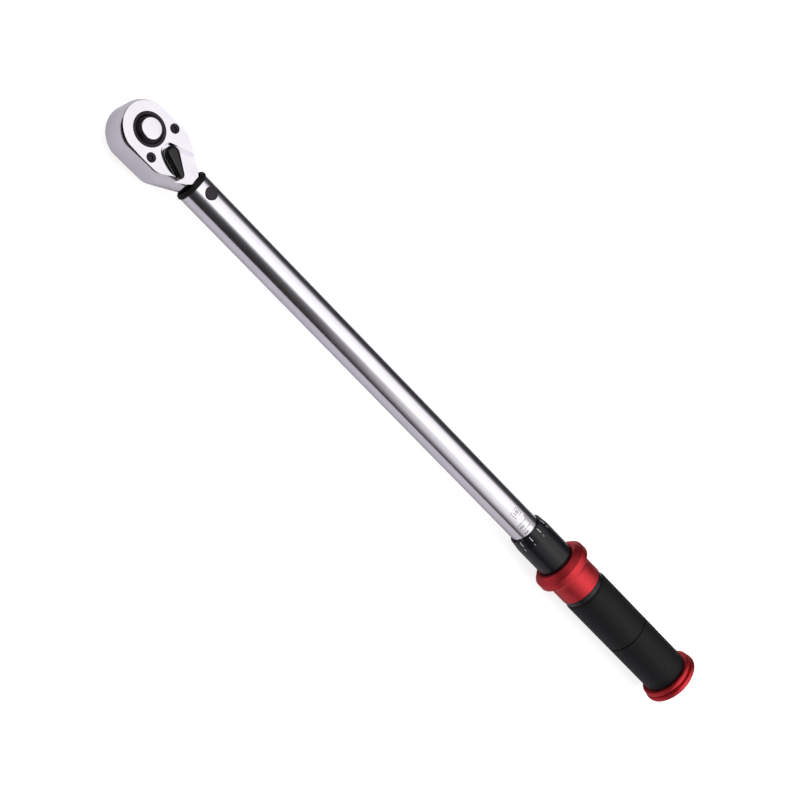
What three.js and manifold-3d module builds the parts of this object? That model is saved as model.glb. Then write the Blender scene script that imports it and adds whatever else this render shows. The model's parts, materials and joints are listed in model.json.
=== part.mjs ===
// Click-type torque wrench with a reversible ratchet head and a 1/2 in square drive.
//
// Millimetres, +Z up. The origin is the centre of the square drive's end face. The wrench's own
// axis runs along +X at AXIS_HEIGHT, from the drive at X = 0 to the handle's end, and the
// reversing lever and the release button are on the +Z side. Every sub-part is built about the
// wrench's axis and lifted to AXIS_HEIGHT by one group.

import * as THREE from "three";
import { mergeVertices } from "three/addons/utils/BufferGeometryUtils.js";
import Module from "manifold-3d";

const wasm = await Module();
wasm.setup();

// ---------------------------------------------------------------- driving dimensions

const FIT = 0.3;                 // gap between pieces that touch on the real wrench
const RUNNING = 0.1;             // radial clearance of a shaft that turns in its bore

const AXIS_HEIGHT = 27.5;        // wrench axis above the square drive's end face
const SQUARE = 12.7;             // 1/2 in square drive, across the flats
const SHOULDER_Z = -12.6;        // gear's lower shoulder, from the wrench axis
const SQUARE_END_Z = -AXIS_HEIGHT;

const FACE_Z = 12.9;             // top face of the cover plate
const PLATE_THICKNESS = 2.5;
const BODY_TOP_Z = FACE_Z - PLATE_THICKNESS - FIT;
const BODY_BOTTOM_Z = -11.5;
const HEAD_RADIUS = 22.4;        // half the head's width about the drive, at mid height
const NOSE_REACH = 23.2;         // from the drive axis to the head's nose
const FLANK_Y = 21.3;            // half the head's width between the screws and the neck
const FACE_INSET = 1.1;          // the face's outline lies this far inside the mid-height one
const POCKET_FLOOR_Z = 8.8;
const POCKET_X = 20.3;           // centre of the pocket's round nose
const POCKET_RADIUS = 5.5;
const POCKET_FLARE = THREE.MathUtils.degToRad(22);
const NECK_SLOPE = 0.5636;       // the neck's cone narrows this much per mm
const SHANK_RADIUS = 9.0;        // head's shank inside the tube
const SHANK_START = 49.7;        // where the neck's cone has narrowed to the shank
const TAIL_RADIUS = 6.05;        // end of the head's tail inside the tube

const GEAR_TEETH = 72;
const GEAR_TIP = 15.2;
const GEAR_ROOT = 14.35;
const GEAR_BOSS = 12.85;
const GEAR_TOP_Z = 10.2;
const GEAR_BOTTOM_Z = -7.7;
const GEAR_BORE = GEAR_TIP + 0.4;

const BUTTON_RADIUS = 8.1;
const BUTTON_TOP_Z = 17.2;
const BUTTON_SEAT_Z = 5.5;       // floor of the button's bore in the gear
const BUTTON_SKIRT_Z = 11.5;
const BALL_Z = -19.5;            // detent ball, half way along the square
const DETENT_BALL = 2.4;
const BALL_PROUD = 1.0;

const LEVER_X = 23.3;            // reversing lever's spindle
const LEVER_ANGLE = THREE.MathUtils.degToRad(-29);
const LEVER_LENGTH = 15.5;
const LEVER_HUB = 5.7;
const LEVER_TIP = 3.2;
const LEVER_TOP_Z = 15.2;
const SPINDLE_RADIUS = 2.6;

const PAWL_PIVOT_X = 17.4;
const PAWL_PIN_RADIUS = 1.1;
const PAWL_ROCK = THREE.MathUtils.degToRad(5);
const PAWL_INNER = GEAR_TIP + 0.18;
const PAWL_OUTER = 19.4;
const PAWL_SPAN = THREE.MathUtils.degToRad(30);
const PAWL_TOP_Z = 5.8;
const PAWL_BOTTOM_Z = -6.6;

const SCREW_X = 13.2;
const SCREW_Y = 14.9;
const SCREW_HEAD = 3.65;

const PIVOT_X = 62.5;            // pin the head swings on inside the tube
const PIVOT_RADIUS = 5.0;
const PIVOT_TOP_Z = 12.95;
const TUBE_RADIUS = 12.5;
const TUBE_BORE = 10.0;
const TUBE_START = 52.5;
const TUBE_END = 575;
const SEAL_START = 49.1;
const SEAL_RADIUS = 13.0;
const SEAL_BORE = 10.5;

const TAIL_END = 130;
const BLOCK_LENGTH = 9;
const BLOCK_WIDTH = 7;
const SOCKET_DEPTH = 1.0;
const SOCKET_SLACK = 0.5;
const SLIDER_RADIUS = 9.6;       // plunger and spring seat inside the tube
const PLUNGER_SHOULDER = 296;
const SEAT_FRONT = 476;
const SEAT_REAR = 490;
const SPIGOT_RADIUS = 5.2;
const SPRING_RADIUS = 7.6;
const SPRING_WIRE = 1.7;
const SPRING_TURNS = 10;
const THRUST_BALL = 3.5;

const SCREW_FRONT = 492.5;       // adjusting screw
const THREAD_RADIUS = 6.6;
const NUT_START = 540;
const NUT_END = 560;

const SLEEVE_START = 429.5;      // graduated sleeve's rim, at the 250 mark
const SLEEVE_RIM = 14.5;
const SLEEVE_RADIUS = 15.7;
const SLEEVE_BORE = TUBE_RADIUS + FIT;
const SLEEVE_FULL = 438.8;

const COLLAR_START = 468.0;      // lock collar
const COLLAR_NOSE = 18.9;
const COLLAR_RADIUS = 23.6;
const COLLAR_BARREL = 18.85;
const COLLAR_END = 500.3;
const COLLAR_BORE = SLEEVE_RADIUS + FIT;
const COLLAR_CAVITY = 17.6;
const RIM_FRONT = 473.6;         // the collar's widest part
const RIM_REAR = 478.5;

const CORE_START = 500.6;        // handle core, with its smooth band ahead of the grip
const BAND_RADIUS = 18.5;
const CORE_RADIUS = 17.0;
const CORE_BORE = 13.0;
const GRIP_START = 504.8;
const GRIP_RADIUS = 19.25;
const GRIP_GROOVE_X = 559.8;
const GRIP_END = 613.0;
const CAP_START = GRIP_END + FIT;
const CAP_RADIUS = 23.95;
const CAP_END = 624.0;
const HUB_START = 592;
const HUB_PIN_X = 602;

const FINE = 28;                 // sides of a large turned part
const COARSE = 16;               // sides of a small one

// ---------------------------------------------------------------- materials

const finish = (color, roughness, metalness) =>
  new THREE.MeshStandardMaterial({ color, roughness, metalness });

const chrome = finish(0xd8d6da, 0.18, 1.0);
const blackSteel = finish(0x26242a, 0.45, 0.8);
const gunmetal = finish(0x3a383c, 0.35, 0.9);
const toolSteel = finish(0x8a8a8c, 0.4, 0.9);
const springSteel = finish(0x6e6c68, 0.4, 0.9);
const blackSleeve = finish(0x1c1a20, 0.35, 0.6);
const redAnodised = finish(0xc62834, 0.3, 0.8);
const blackGrip = finish(0x1e1e20, 0.7, 0.0);
const sealRubber = finish(0x161417, 0.75, 0.0);
const brass = finish(0xb08d4a, 0.35, 0.9);

// ---------------------------------------------------------------- solids

function signedVolume(position, index) {
  const [a, b, c] = [new THREE.Vector3(), new THREE.Vector3(), new THREE.Vector3()];
  let volume = 0;
  for (let i = 0; i < index.length; i += 3) {
    a.fromBufferAttribute(position, index[i]);
    b.fromBufferAttribute(position, index[i + 1]);
    c.fromBufferAttribute(position, index[i + 2]);
    volume += a.dot(b.cross(c)) / 6;
  }
  return volume;
}

/** A three.js geometry as a manifold solid, with its faces pointing out. */
function solid(geometry) {
  geometry.deleteAttribute("normal");
  geometry.deleteAttribute("uv");
  const merged = mergeVertices(geometry, 1e-4);
  const index = [];
  for (let i = 0; i < merged.index.count; i += 3) {
    const [a, b, c] = [0, 1, 2].map((k) => merged.index.getX(i + k));
    if (a !== b && b !== c && c !== a) index.push(a, b, c);
  }
  if (signedVolume(merged.attributes.position, index) < 0) index.reverse();
  return new wasm.Manifold(new wasm.Mesh({
    numProp: 3,
    vertProperties: Float32Array.from(merged.attributes.position.array),
    triVerts: Uint32Array.from(index),
  }));
}

function meshOf(name, shape, material) {
  const { vertProperties, triVerts } = shape.getMesh();
  const geometry = new THREE.BufferGeometry();
  geometry.setAttribute("position", new THREE.BufferAttribute(vertProperties, 3));
  geometry.setIndex(new THREE.BufferAttribute(triVerts, 1));
  geometry.computeVertexNormals();
  const mesh = new THREE.Mesh(geometry, material);
  mesh.name = name;
  return mesh;
}

/** A profile of [along, radius] points, turned about Y. A hollow part's profile closes itself. */
function lathe(profile, sides) {
  const points = profile.map(([along, radius]) => new THREE.Vector2(radius, along));
  const first = points[0];
  if (first.x > 0 || points[points.length - 1].x > 0) points.push(first.clone());
  return new THREE.LatheGeometry(points, sides);
}

/** Turned about the wrench's axis: the profile is [x, radius]. */
const turned = (profile, sides = FINE) => solid(lathe(profile, sides).rotateZ(-Math.PI / 2));

/** Turned about a vertical axis at (x, y): the profile is [z, radius]. */
const upright = (profile, x = 0, y = 0, sides = COARSE) =>
  solid(lathe(profile, sides).rotateX(Math.PI / 2).translate(x, y, 0));

const disc = (radius, z0, z1, x = 0, y = 0, sides = COARSE) =>
  upright([[z0, 0], [z0, radius], [z1, radius], [z1, 0]], x, y, sides);

/** A round bar across the wrench, along Y at (x, z). */
const crossBar = (radius, x, z, y0, y1, sides = 20) =>
  solid(new THREE.CylinderGeometry(radius, radius, y1 - y0, sides).translate(x, (y0 + y1) / 2, z));

const box = (x0, x1, y0, y1, z0, z1) =>
  solid(new THREE.BoxGeometry(x1 - x0, y1 - y0, z1 - z0)
    .translate((x0 + x1) / 2, (y0 + y1) / 2, (z0 + z1) / 2));

const ball = (radius, x, y, z) =>
  solid(new THREE.SphereGeometry(radius, 12, 8).translate(x, y, z));

function extruded(shape, z0, z1, bevel = null) {
  const [size, depth, segments] = bevel ?? [0, 0, 1];
  const settings = {
    depth: z1 - z0 - 2 * depth, bevelEnabled: bevel !== null, bevelSize: size,
    bevelThickness: depth, bevelOffset: -size, bevelSegments: segments, curveSegments: 12,
  };
  return solid(new THREE.ExtrudeGeometry(shape, settings).translate(0, 0, z0 + depth));
}

/** A round wire wound about the Z axis, from z0 to z1. */
class Helix extends THREE.Curve {
  constructor(radius, turns, z0, z1) {
    super();
    Object.assign(this, { radius, turns, z0, z1 });
  }

  getPoint(t, target = new THREE.Vector3()) {
    const angle = 2 * Math.PI * this.turns * t;
    const z = this.z0 + (this.z1 - this.z0) * t;
    return target.set(this.radius * Math.cos(angle), this.radius * Math.sin(angle), z);
  }
}

function coil(radius, wire, turns, z0, z1, sides = 4, stepsPerTurn = 8) {
  const section = new THREE.Shape();
  for (let i = 0; i < sides; i += 1) {
    const angle = (2 * Math.PI * i) / sides;
    section[i ? "lineTo" : "moveTo"](wire * Math.cos(angle), wire * Math.sin(angle));
  }
  const path = new Helix(radius, turns, z0 + wire, z1 - wire);
  return solid(new THREE.ExtrudeGeometry(section, {
    extrudePath: path, steps: Math.ceil(turns * stepsPerTurn), bevelEnabled: false,
  }));
}

/** The same spring, wound about the wrench's axis from x0 to x1. */
const coilAlong = (radius, wire, turns, x0, x1, sides, stepsPerTurn) =>
  coil(radius, wire, turns, x0, x1, sides, stepsPerTurn).rotate([0, 90, 0]);

const degrees = (radians) => THREE.MathUtils.radToDeg(radians);

function turnedAbout(shape, x, radians) {
  return shape.translate([-x, 0, 0]).rotate([0, 0, degrees(radians)]).translate([x, 0, 0]);
}

// ---------------------------------------------------------------- head outline

/** Half of the head's mid-height outline from the nose back, on the +Y side, before the neck's
 * cone is turned on it. */
function halfOutline() {
  const nose = [];
  const steps = 9;
  const sweep = THREE.MathUtils.degToRad(77);
  for (let i = 0; i < steps; i += 1) {
    const angle = Math.PI - sweep * (i / steps);
    nose.push(new THREE.Vector2(NOSE_REACH * Math.cos(angle), HEAD_RADIUS * Math.sin(angle)));
  }
  const flank = [[-5, 21.8], [4, 21.7], [13, 21.5], [21, FLANK_Y], [60, FLANK_Y]]
    .map(([x, y]) => new THREE.Vector2(x, y));
  return [...nose, ...flank];
}

/** The head's outline, moved inwards by inset. */
function headShape(inset) {
  const half = halfOutline();
  const offset = half.map((point, i) => {
    const before = half[Math.max(i - 1, 0)];
    const after = half[Math.min(i + 1, half.length - 1)];
    const along = after.clone().sub(before).normalize();
    if (i === 0) along.set(0, 1);
    return point.clone().add(new THREE.Vector2(along.y, -along.x).multiplyScalar(inset));
  });
  offset[0].y = 0;
  const mirrored = offset.slice(1).reverse().map(({ x, y }) => new THREE.Vector2(x, -y));
  return new THREE.Shape([...mirrored, ...offset]);
}

/** The lever's pocket: a round nose that flares towards the neck. */
function pocketShape() {
  const reach = 40;
  const start = Math.PI / 2 + POCKET_FLARE;
  const shape = new THREE.Shape();
  shape.absarc(POCKET_X, 0, POCKET_RADIUS, start, 2 * Math.PI - start, false);
  const edge = POCKET_RADIUS / Math.cos(POCKET_FLARE) + reach * Math.tan(POCKET_FLARE);
  shape.lineTo(POCKET_X + reach, -edge);
  shape.lineTo(POCKET_X + reach, edge);
  return shape;
}

/** A sector of a ring about the drive axis, centred on +X. */
function sector(inner, outer, span) {
  const shape = new THREE.Shape();
  shape.absarc(0, 0, outer, -span, span, false);
  shape.absarc(0, 0, inner, span, -span, true);
  return shape;
}

// ---------------------------------------------------------------- ratchet head

/** Cone about the wrench's axis that the neck is turned to, and that trims the housing. */
function neckCone() {
  const far = -40;
  return turned([
    [far, 0], [far, SHANK_RADIUS + NECK_SLOPE * (SHANK_START - far)],
    [SHANK_START, SHANK_RADIUS], [SHANK_START, 0],
  ], 48);
}

/** Forged head: ratchet housing, neck and the tail that reaches into the tube. */
function headBody() {
  const barrel = extruded(headShape(0), BODY_BOTTOM_Z - 10, BODY_TOP_Z, [FACE_INSET, 8, 2]);
  const rounded = extruded(headShape(0), BODY_BOTTOM_Z, BODY_TOP_Z + 10, [3, 3, 2]);
  const housing = barrel.intersect(rounded).intersect(neckCone());
  const shank = turned([
    [SHANK_START - 2, 0], [SHANK_START - 2, SHANK_RADIUS], [75, SHANK_RADIUS],
    [TAIL_END, TAIL_RADIUS], [TAIL_END, 0],
  ], COARSE);
  const pawlRoom = extruded(sector(GEAR_BORE - 1, 20.5, PAWL_SPAN + 0.13),
    PAWL_BOTTOM_Z - FIT, PAWL_TOP_Z + FIT);
  const cuts = [
    extruded(pocketShape(), POCKET_FLOOR_Z, FACE_Z + 5),
    disc(GEAR_BORE, GEAR_BOTTOM_Z - FIT, FACE_Z + 5, 0, 0, 36),
    disc(GEAR_BOSS + 0.35, BODY_BOTTOM_Z - 5, 0, 0, 0, FINE),
    disc(SPINDLE_RADIUS + 1.3, PAWL_BOTTOM_Z - FIT, PAWL_TOP_Z + FIT, LEVER_X),
    disc(SPINDLE_RADIUS + RUNNING, -9, POCKET_FLOOR_Z + 3, LEVER_X),
    disc(PIVOT_RADIUS + RUNNING, -20, 20, PIVOT_X, 0, 32),
    box(TAIL_END - SOCKET_DEPTH, TAIL_END + 5, ...span(BLOCK_WIDTH / 2 + SOCKET_SLACK),
      ...span(BLOCK_WIDTH / 2 + FIT)),
    ...[-1, 1].map((side) => disc(2.1, 1, FACE_Z + 5, SCREW_X, side * SCREW_Y, 16)),
  ];
  return cuts.reduce((shape, cut) => shape.subtract(cut),
    housing.add(shank).subtract(pawlRoom));
}

const span = (half) => [-half, half];

/** Face plate that closes the ratchet and leaves the lever's pocket open. */
function coverPlate() {
  const blank = extruded(headShape(FACE_INSET), FACE_Z - PLATE_THICKNESS, FACE_Z, [0.5, 0.5, 2]);
  const plate = blank.intersect(neckCone());
  const holes = [
    extruded(pocketShape(), 0, FACE_Z + 5),
    disc(GEAR_BOSS + FIT, 0, FACE_Z + 5, 0, 0, FINE),
    ...[-1, 1].flatMap((side) => [
      disc(2.1, 0, FACE_Z + 5, SCREW_X, side * SCREW_Y, 16),
      disc(SCREW_HEAD + FIT, FACE_Z - 1.8, FACE_Z + 5, SCREW_X, side * SCREW_Y, 24),
    ]),
  ];
  return holes.reduce((shape, hole) => shape.subtract(hole), plate);
}

function coverScrew(side) {
  const head = [[3, 0], [3, 1.8], [FACE_Z - 1.7, 1.8], [FACE_Z - 1.7, SCREW_HEAD],
    [FACE_Z - 0.5, SCREW_HEAD], [FACE_Z - 0.2, SCREW_HEAD - 0.4], [FACE_Z - 0.2, 0]];
  const socket = disc(2.0, FACE_Z - 1.4, FACE_Z + 1, SCREW_X, side * SCREW_Y, 6);
  return upright(head, SCREW_X, side * SCREW_Y, 24).subtract(socket);
}

/** The ratchet's tooth outline, grown outwards by grow. */
function gearShape(grow = 0) {
  const shape = new THREE.Shape();
  const tipHalf = (0.09 + 0.6 * grow) / GEAR_TIP;
  const rootHalf = (0.14 - 0.6 * grow) / GEAR_ROOT;
  for (let i = 0; i < GEAR_TEETH; i += 1) {
    const tip = (2 * Math.PI * (i + 0.5)) / GEAR_TEETH;
    const root = tip + Math.PI / GEAR_TEETH;
    const corners = [[tip - tipHalf, GEAR_TIP], [tip + tipHalf, GEAR_TIP],
      [root - rootHalf, GEAR_ROOT], [root + rootHalf, GEAR_ROOT]];
    corners.forEach(([angle, radius], k) => {
      const r = radius + grow;
      shape[i || k ? "lineTo" : "moveTo"](r * Math.cos(angle), r * Math.sin(angle));
    });
  }
  return shape;
}

/** Square drive with broken corners and a chamfered end. */
function squareShape(half, corner) {
  const shape = new THREE.Shape();
  const inner = half - corner;
  [[half, inner], [inner, half], [-inner, half], [-half, inner],
    [-half, -inner], [-inner, -half], [inner, -half], [half, -inner]]
    .forEach(([x, y], i) => shape[i ? "lineTo" : "moveTo"](x, y));
  return shape;
}

/** Ratchet gear, its two bosses and the square drive in one piece. */
function ratchetGear() {
  const square = extruded(squareShape(SQUARE / 2, 0.9), SQUARE_END_Z, 0, [0.8, 0.8, 1]);
  const bosses = upright([
    [SHOULDER_Z, 0], [SHOULDER_Z, GEAR_BOSS - 0.5], [SHOULDER_Z + 0.5, GEAR_BOSS],
    [FACE_Z, GEAR_BOSS], [FACE_Z + 0.4, GEAR_BOSS - 0.4], [FACE_Z + 0.4, 0],
  ], 0, 0, FINE);
  const cuts = [
    disc(BUTTON_RADIUS + FIT, BUTTON_SEAT_Z, FACE_Z + 5, 0, 0, 24),
    disc(3.2, -25.7, 10, 0, 0, 16),
    crossBar(DETENT_BALL + 0.2, 0, BALL_Z, -10, 0),
  ];
  const blank = extruded(gearShape(), GEAR_BOTTOM_Z, GEAR_TOP_Z).add(bosses).add(square);
  return cuts.reduce((shape, cut) => shape.subtract(cut), blank);
}

/** Quick-release button; its stem's waist lets the detent ball drop in when it is pressed. */
function releaseButton() {
  return upright([
    [BALL_Z - 2, 0], [BALL_Z - 2, 2.3], [BALL_Z + 0.3, 2.3], [BALL_Z + 1.3, 1.3],
    [BALL_Z + 7, 1.3], [BALL_Z + 7, 2.9], [BUTTON_SKIRT_Z, 2.9],
    [BUTTON_SKIRT_Z, BUTTON_RADIUS - 0.3], [BUTTON_SKIRT_Z + 0.3, BUTTON_RADIUS],
    [BUTTON_TOP_Z - 1.0, BUTTON_RADIUS], [BUTTON_TOP_Z - 0.3, BUTTON_RADIUS - 0.5],
    [BUTTON_TOP_Z, BUTTON_RADIUS - 1.3], [BUTTON_TOP_Z, 0],
  ], 0, 0, 24);
}

const buttonSpring = () => coil(5.2, 0.5, 3.5, BUTTON_SEAT_Z + FIT, BUTTON_SKIRT_Z - FIT);

const detentBall = () =>
  ball(DETENT_BALL, 0, -(SQUARE / 2 + BALL_PROUD - DETENT_BALL), BALL_Z);

/** Reversing lever: tapered thumb piece on a spindle that carries the pawl's plunger. */
function reverseLever() {
  const lean = Math.asin((LEVER_HUB - LEVER_TIP) / LEVER_LENGTH);
  const shape = new THREE.Shape();
  const edge = Math.PI / 2 - lean;
  shape.absarc(0, 0, LEVER_HUB, edge, 2 * Math.PI - edge, false);
  shape.absarc(LEVER_LENGTH, 0, LEVER_TIP, -edge, edge, false);
  const thumb = extruded(shape, POCKET_FLOOR_Z + FIT, LEVER_TOP_Z, [1.0, 0.9, 2]);
  const spindle = disc(SPINDLE_RADIUS, -8.6, POCKET_FLOOR_Z + 1);
  const plungerBore = solid(new THREE.CylinderGeometry(1.3, 1.3, 5.0, 14)
    .rotateZ(Math.PI / 2).translate(-0.6, 0, 0));
  return placeOnLever(thumb.add(spindle).subtract(plungerBore));
}

const placeOnLever = (shape) =>
  shape.rotate([0, 0, degrees(LEVER_ANGLE)]).translate([LEVER_X, 0, 0]);

/** Small plunger in the lever's spindle, pressing on the pawl's back. */
const pawlPlunger = () => placeOnLever(
  solid(lathe([[-0.6, 0], [-0.6, 1.1], [2.9, 1.1], [3.4, 0.6], [3.4, 0]], 14)
    .rotateZ(Math.PI / 2)));

const plungerSpring = () => placeOnLever(coilAlong(0.8, 0.18, 2, 0.75, 1.75));

/** Double-ended pawl; the end on the +Y side is in the gear's teeth. */
function pawl() {
  const blank = extruded(sector(PAWL_INNER, PAWL_OUTER, PAWL_SPAN), PAWL_BOTTOM_Z, PAWL_TOP_Z);
  const toothCutter = extruded(gearShape(0.15), -20, 20);
  const spindleCutter = disc(SPINDLE_RADIUS + 1.1, -20, 20, LEVER_X);
  const cutInPlace = (shape) => shape.subtract(toothCutter).subtract(spindleCutter);
  const bored = blank.subtract(disc(PAWL_PIN_RADIUS + RUNNING, -20, 20, PAWL_PIVOT_X, 0, 16));
  const reversed = cutInPlace(turnedAbout(bored, PAWL_PIVOT_X, -PAWL_ROCK));
  return cutInPlace(turnedAbout(reversed, PAWL_PIVOT_X, 2 * PAWL_ROCK));
}

const pawlPin = () =>
  disc(PAWL_PIN_RADIUS, PAWL_BOTTOM_Z - 0.2, PAWL_TOP_Z + 0.2, PAWL_PIVOT_X, 0, 16);

// ---------------------------------------------------------------- tube and click mechanism

function tube() {
  const wall = turned([
    [TUBE_START, TUBE_BORE], [TUBE_START, TUBE_RADIUS - 0.4], [TUBE_START + 0.4, TUBE_RADIUS],
    [TUBE_END - 0.5, TUBE_RADIUS], [TUBE_END, TUBE_RADIUS - 0.5], [TUBE_END, TUBE_BORE],
  ]);
  return wall
    .subtract(disc(PIVOT_RADIUS + 0.15, -20, 20, PIVOT_X, 0, 32))
    .subtract(crossBar(1.8, (NUT_START + NUT_END) / 2, 0, -20, 20));
}

const sealRing = () => turned([
  [SEAL_START, SEAL_BORE], [SEAL_START, SEAL_RADIUS - 1.2], [SEAL_START + 1.2, SEAL_RADIUS],
  [TUBE_START - 1.0, SEAL_RADIUS], [TUBE_START - FIT, SEAL_RADIUS - 0.6],
  [TUBE_START - FIT, SEAL_BORE],
]);

const pivotPin = () => upright([
  [-12.2, 0], [-12.2, PIVOT_RADIUS - 0.5], [-11.7, PIVOT_RADIUS],
  [PIVOT_TOP_Z - 0.5, PIVOT_RADIUS], [PIVOT_TOP_Z, PIVOT_RADIUS - 0.5], [PIVOT_TOP_Z, 0],
], PIVOT_X, 0, 32);

/** Rocking block between the head's tail and the plunger: it tips over when the wrench clicks. */
function clickBlock() {
  const start = TAIL_END - SOCKET_DEPTH + FIT;
  return box(start, start + BLOCK_LENGTH, ...span(BLOCK_WIDTH / 2), ...span(BLOCK_WIDTH / 2));
}

/** Plunger that carries the main spring's force to the click block. */
function thrustPlunger() {
  const front = TAIL_END + BLOCK_LENGTH - 2 * SOCKET_DEPTH + 2 * FIT;
  const bar = turned([
    [front, 0], [front, SLIDER_RADIUS - 0.6], [front + 0.6, SLIDER_RADIUS],
    [front + 24, SLIDER_RADIUS], [front + 27, 6.5], [PLUNGER_SHOULDER - 18, 6.5],
    [PLUNGER_SHOULDER - 15, SLIDER_RADIUS], [PLUNGER_SHOULDER, SLIDER_RADIUS],
    [PLUNGER_SHOULDER, SPIGOT_RADIUS], [PLUNGER_SHOULDER + 10, SPIGOT_RADIUS],
    [PLUNGER_SHOULDER + 11, SPIGOT_RADIUS - 1], [PLUNGER_SHOULDER + 11, 0],
  ], COARSE);
  return bar.subtract(box(front - 5, front + SOCKET_DEPTH,
    ...span(BLOCK_WIDTH / 2 + SOCKET_SLACK), ...span(BLOCK_WIDTH / 2 + FIT)));
}

const mainSpring = () => coilAlong(SPRING_RADIUS, SPRING_WIRE, SPRING_TURNS,
  PLUNGER_SHOULDER + FIT, SEAT_FRONT - 2 - 2 * FIT);

const seatWasher = () => turned([
  [SEAT_FRONT - FIT - 2, 5.6], [SEAT_FRONT - FIT - 2, 9.5], [SEAT_FRONT - FIT, 9.5],
  [SEAT_FRONT - FIT, 5.6],
], COARSE);

/** Seat at the spring's rear end, moved along the tube by the adjusting screw. */
const springSeat = () => turned([
  [SEAT_FRONT - 10, 0], [SEAT_FRONT - 10, SPIGOT_RADIUS - 0.8], [SEAT_FRONT - 9, SPIGOT_RADIUS],
  [SEAT_FRONT, SPIGOT_RADIUS], [SEAT_FRONT, SLIDER_RADIUS], [SEAT_REAR, SLIDER_RADIUS],
  [SEAT_REAR, 4], [SEAT_REAR - 3, 4], [SEAT_REAR - 3, 0],
], COARSE);

const thrustBall = () => ball(THRUST_BALL, SEAT_REAR - 3 + FIT + THRUST_BALL, 0, 0);

/** Screw that the handle turns in the fixed nut; the thread is left plain. */
const adjustingScrew = () => turned([
  [SCREW_FRONT + 2.5, 0], [SCREW_FRONT + 2.5, 4], [SCREW_FRONT, 4], [SCREW_FRONT, 5.6],
  [SCREW_FRONT + 1, THREAD_RADIUS], [HUB_START - FIT, THREAD_RADIUS], [HUB_START - FIT, 5],
  [611, 5], [611, 2.6], [600, 2.6], [600, 0],
], COARSE);

const fixedNut = () => turned([
  [NUT_START, THREAD_RADIUS + FIT], [NUT_START, 9.2], [NUT_START + 0.5, 9.7],
  [NUT_END - 0.5, 9.7], [NUT_END, 9.2], [NUT_END, THREAD_RADIUS + FIT],
], COARSE).subtract(crossBar(1.8, (NUT_START + NUT_END) / 2, 0, -20, 20));

function nutPin(side) {
  const ends = [side * 7.6, side * 12.2].sort((a, b) => a - b);
  return crossBar(1.5, (NUT_START + NUT_END) / 2, 0, ...ends);
}

// ---------------------------------------------------------------- handle

const RING_X = 475.5;            // retaining ring ahead of the lock spring
const LOCK_BALL_X = 490.5;
const LOCK_BALL = 1.35;
const SHOULDER_X = 486;          // the collar's shoulder behind the lock spring

/** Graduated sleeve that turns with the handle and reads against the tube's scale. */
function graduatedSleeve() {
  const spigotEnd = 515;
  const body = turned([
    [SLEEVE_START, SLEEVE_BORE], [SLEEVE_START, SLEEVE_RIM - 0.3],
    [SLEEVE_START + 0.3, SLEEVE_RIM], [SLEEVE_FULL, SLEEVE_RADIUS],
    [RING_X - FIT, SLEEVE_RADIUS], [RING_X - FIT, 15.0],
    [RING_X + 1.2 + FIT, 15.0], [RING_X + 1.2 + FIT, SLEEVE_RADIUS],
    [CORE_START - FIT, SLEEVE_RADIUS], [CORE_START - FIT, 15.0],
    [spigotEnd, 15.0], [spigotEnd, SLEEVE_BORE],
  ]);
  return body.subtract(crossBar(LOCK_BALL + FIT, LOCK_BALL_X, 0, -20, 20, 14));
}

const lockBall = (side) => ball(LOCK_BALL, LOCK_BALL_X, side * 14.25, 0);

function retainingRing() {
  const ring = turned([[RING_X, 15.3], [RING_X, 17.2], [RING_X + 1.2, 17.2],
    [RING_X + 1.2, 15.3]], 36);
  return ring.subtract(box(RING_X - 5, RING_X + 5, -2, 2, -20, 0));
}

const lockSpring = () => coilAlong(16.6, 0.5, 3, RING_X + 1.2 + FIT, SHOULDER_X - FIT, 4, 14);

/** Lock collar: pushed towards the head to free the handle. */
const lockCollar = () => turned([
  [COLLAR_START, COLLAR_BORE], [COLLAR_START, COLLAR_NOSE - 0.6],
  [COLLAR_START + 0.6, COLLAR_NOSE], [RIM_FRONT - 1, COLLAR_RADIUS - 0.4],
  [RIM_FRONT, COLLAR_RADIUS], [RIM_REAR, COLLAR_RADIUS], [RIM_REAR + 0.5, COLLAR_RADIUS - 0.5],
  [RIM_REAR + 0.9, 21.4], [RIM_REAR + 2.1, 19.7], [RIM_REAR + 4.9, COLLAR_BARREL],
  [COLLAR_END - 0.4, COLLAR_BARREL], [COLLAR_END, COLLAR_BARREL - 0.4],
  [COLLAR_END, COLLAR_BORE], [496.5, COLLAR_BORE], [495.7, 16.9], [493.3, 16.9],
  [492.5, COLLAR_BORE], [SHOULDER_X, COLLAR_BORE], [SHOULDER_X, COLLAR_CAVITY],
  [474, COLLAR_CAVITY], [474, COLLAR_BORE],
]);

/** Inner tube of the handle, with the smooth band ahead of the grip. */
const handleCore = () => turned([
  [CORE_START, 15.3], [CORE_START, BAND_RADIUS - 0.4], [CORE_START + 0.4, BAND_RADIUS],
  [GRIP_START - FIT, BAND_RADIUS], [GRIP_START - FIT, CORE_RADIUS], [612.7, CORE_RADIUS],
  [612.7, CORE_BORE], [515.3, CORE_BORE], [515.3, 15.3],
]).subtract(crossBar(1.8, HUB_PIN_X, 0, -30, 30));

/** Grip sleeve with one groove near its middle. */
const grip = () => turned([
  [GRIP_START, CORE_RADIUS + FIT], [GRIP_START, GRIP_RADIUS - 1.2],
  [GRIP_START + 2, GRIP_RADIUS], [GRIP_GROOVE_X - 0.9, GRIP_RADIUS],
  [GRIP_GROOVE_X - 0.6, GRIP_RADIUS - 0.7], [GRIP_GROOVE_X + 0.6, GRIP_RADIUS - 0.7],
  [GRIP_GROOVE_X + 0.9, GRIP_RADIUS], [GRIP_END - 0.5, GRIP_RADIUS],
  [GRIP_END, GRIP_RADIUS - 0.5], [GRIP_END, CORE_RADIUS + FIT],
]);

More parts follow.
